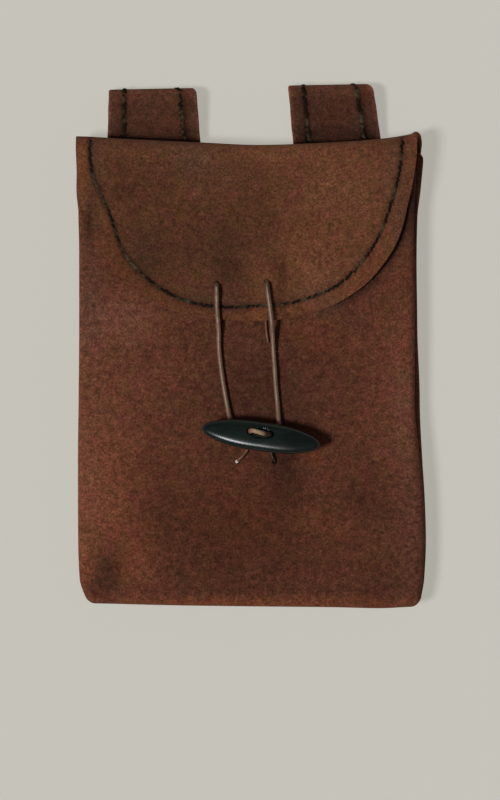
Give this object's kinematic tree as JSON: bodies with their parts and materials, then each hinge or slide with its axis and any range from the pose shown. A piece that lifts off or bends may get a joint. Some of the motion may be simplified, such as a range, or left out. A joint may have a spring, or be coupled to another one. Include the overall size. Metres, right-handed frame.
{
  "type": "belt bag",
  "caption": "Soft suede belt bag with a round stitched flap, two belt loops and a leaf-shaped toggle closed by a cord loop, lying on its back.",
  "frame": {"origin": "centre of the outline at the surface that the bag lies on", "axes": "+Z out of the bag's front, +Y towards the belt loops, +X to the right seen from the front"},
  "size_m": [0.1705, 0.2555, 0.032],
  "materials": {
    "suede_body": "brown suede, matte with a short nap",
    "suede_flap": "warm brown suede, matte with a short nap",
    "suede_loop": "dark brown suede, matte",
    "cord": "smooth grey-tan leather cord",
    "toggle": "polished dark green-black horn"
  },
  "bodies": {
    "root": {"back_and_flap": "suede_flap", "front_panel": "suede_body", "side_gusset": "suede_body", "belt_loop_left": "suede_loop", "belt_loop_right": "suede_loop", "toggle": "toggle", "closing_cord": "cord", "closing_cord_knot_left": "cord", "closing_cord_knot_right": "cord", "toggle_cord": "cord", "toggle_cord_knot": "cord"}
  },
  "joints": []
}
